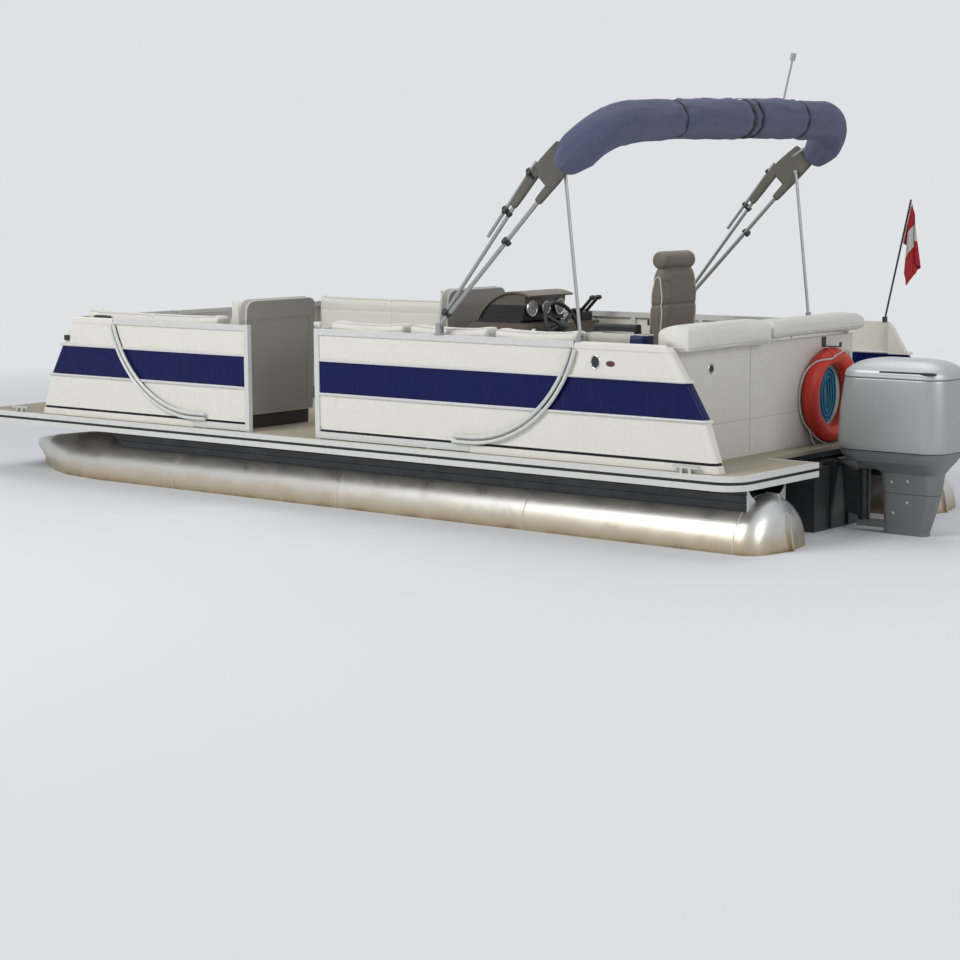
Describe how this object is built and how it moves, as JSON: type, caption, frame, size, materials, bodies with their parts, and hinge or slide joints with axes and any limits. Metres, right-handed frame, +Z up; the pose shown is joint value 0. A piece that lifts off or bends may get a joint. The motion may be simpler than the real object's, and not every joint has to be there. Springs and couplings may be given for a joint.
{
  "type": "pontoon boat",
  "caption": "Pontoon boat with railed deck, corner mouldings, lounges, helm, swivel chair, gates, folded top on struts, tilting outboard, lifebuoy and flag",
  "frame": {"origin": "on the centreline, halfway along the deck, at the waterline", "axes": "+X to the bow, +Y to port, +Z up"},
  "size_m": [6.85, 2.7485, 3.2796],
  "materials": {
    "bare_aluminium": "brushed",
    "beige_deck": "woven vinyl",
    "black_plastic": "grained",
    "blue_canvas": "woven",
    "bright_trim": "polished",
    "brown_console": "satin",
    "buoy_red": "satin",
    "cleat_metal": "polished",
    "cream_moulding": "gloss",
    "cream_vinyl": "stitched",
    "cream_wall": "satin",
    "dark_riser": "satin",
    "engine_block": "plain",
    "flag_cloth": "woven",
    "lamp_white": "satin",
    "motor_black": "satin",
    "motor_silver": "metallic",
    "navy_panel": "gloss",
    "pedestal_metal": "satin",
    "propeller_metal": "satin",
    "smoked_screen": "gloss",
    "taupe_base": "satin",
    "taupe_vinyl": "stitched",
    "teal_rope": "braided",
    "top_tubes": "anodised",
    "white_frame": "gloss",
    "white_rub_rail": "satin"
  },
  "bodies": {
    "hull": {"port_pontoon": "bare_aluminium", "starboard_pontoon": "bare_aluminium", "pontoon_risers": "dark_riser", "cross_members": "bare_aluminium", "motor_pod": "bare_aluminium", "deck": "beige_deck", "deck_edge_trim": "white_rub_rail", "port_stern_moulding": "cream_moulding", "starboard_stern_moulding": "cream_moulding", "port_bow_moulding": "cream_moulding", "starboard_bow_moulding": "cream_moulding", "port_aft_fence": "white_frame", "port_forward_fence": "white_frame", "starboard_fence": "white_frame", "bow_fence": "white_frame", "fence_panels": "navy_panel", "trim_tubes": "bright_trim", "stern_wall": "cream_wall", "aft_lounge_bases": "taupe_base", "bow_lounge_bases": "taupe_base", "aft_lounge_cushions": "cream_vinyl", "bow_lounge_cushions": "cream_vinyl", "lounge_backrests": "cream_vinyl", "stern_bolsters": "cream_vinyl", "helm_console": "brown_console", "console_visor": "smoked_screen", "control_levers": "black_plastic", "chair_pedestal": "pedestal_metal", "bimini_rail_mounts": "top_tubes", "transom_clamp": "motor_black", "lifebuoy": "buoy_red", "lifebuoy_hook": "black_plastic", "tow_rope": "teal_rope", "flagstaff": "top_tubes", "flag": "flag_cloth", "nav_lights": "black_plastic", "cleats": "cleat_metal"},
    "side_gate_leaf": {"side_gate": "white_frame"},
    "bow_gate_leaf": {"bow_gate": "white_frame"},
    "stern_gate_leaf": {"stern_gate": "white_frame"},
    "wheel": {"steering_wheel": "black_plastic"},
    "chair": {"chair_frame": "black_plastic", "captains_chair": "taupe_vinyl"},
    "folded_top": {"bimini_frame": "top_tubes", "bimini_boot": "blue_canvas", "anchor_light": "lamp_white"},
    "port_strut": {"port_rear_strut": "top_tubes"},
    "starboard_strut": {"starboard_rear_strut": "top_tubes"},
    "swivel": {"swivel_bracket": "motor_black"},
    "motor": {"outboard_cowl": "motor_silver", "outboard_powerhead": "engine_block", "outboard_leg": "motor_silver"},
    "screw": {"propeller": "propeller_metal"}
  },
  "joints": [
    {"name": "side_gate_hinge", "type": "hinge", "parent": "hull", "child": "side_gate_leaf", "pos_m": [-0.066, 1.208, 0.78], "axis": [0, 0, 1], "range_deg": [0, 90]},
    {"name": "bow_gate_hinge", "type": "hinge", "parent": "hull", "child": "bow_gate_leaf", "pos_m": [2.118, 0.326, 0.78], "axis": [0, 0, -1], "range_deg": [0, 90]},
    {"name": "stern_gate_hinge", "type": "hinge", "parent": "hull", "child": "stern_gate_leaf", "pos_m": [-2.598, -0.744, 0.78], "axis": [0, 0, -1], "range_deg": [0, 90]},
    {"name": "helm_wheel_turn", "type": "hinge", "parent": "hull", "child": "wheel", "pos_m": [-0.545, -0.62, 1.035], "axis": [0.9063, 0, -0.4226], "range_deg": [-540, 540]},
    {"name": "chair_swivel", "type": "hinge", "parent": "hull", "child": "chair", "pos_m": [-1.18, -0.62, 0.82], "axis": [0, 0, 1], "continuous": true},
    {"name": "top_fold", "type": "hinge", "parent": "hull", "child": "folded_top", "pos_m": [-1.06, 0, 1.15], "axis": [0, 1, 0], "range_deg": [-27, 43]},
    {"name": "port_strut_fold", "type": "hinge", "parent": "hull", "child": "port_strut", "pos_m": [-2.05, 1.213, 1.13], "axis": [0, 1, 0], "range_deg": [0, 72]},
    {"name": "starboard_strut_fold", "type": "hinge", "parent": "hull", "child": "starboard_strut", "pos_m": [-2.05, -1.213, 1.13], "axis": [0, 1, 0], "range_deg": [0, 72]},
    {"name": "motor_tilt", "type": "hinge", "parent": "hull", "child": "swivel", "pos_m": [-3.02, 0, 0.385], "axis": [0, 1, 0], "range_deg": [-4, 38]},
    {"name": "motor_steer", "type": "hinge", "parent": "swivel", "child": "motor", "pos_m": [-3.15, 0, 0.2], "axis": [0, 0, 1], "range_deg": [-30, 30]},
    {"name": "propeller_spin", "type": "hinge", "parent": "motor", "child": "screw", "pos_m": [-3.66, 0, -0.33], "axis": [1, 0, 0], "continuous": true}
  ],
  "couplings": [
    {"joint": "motor_steer", "follows": "helm_wheel_turn", "ratio": 0.055556}
  ]
}
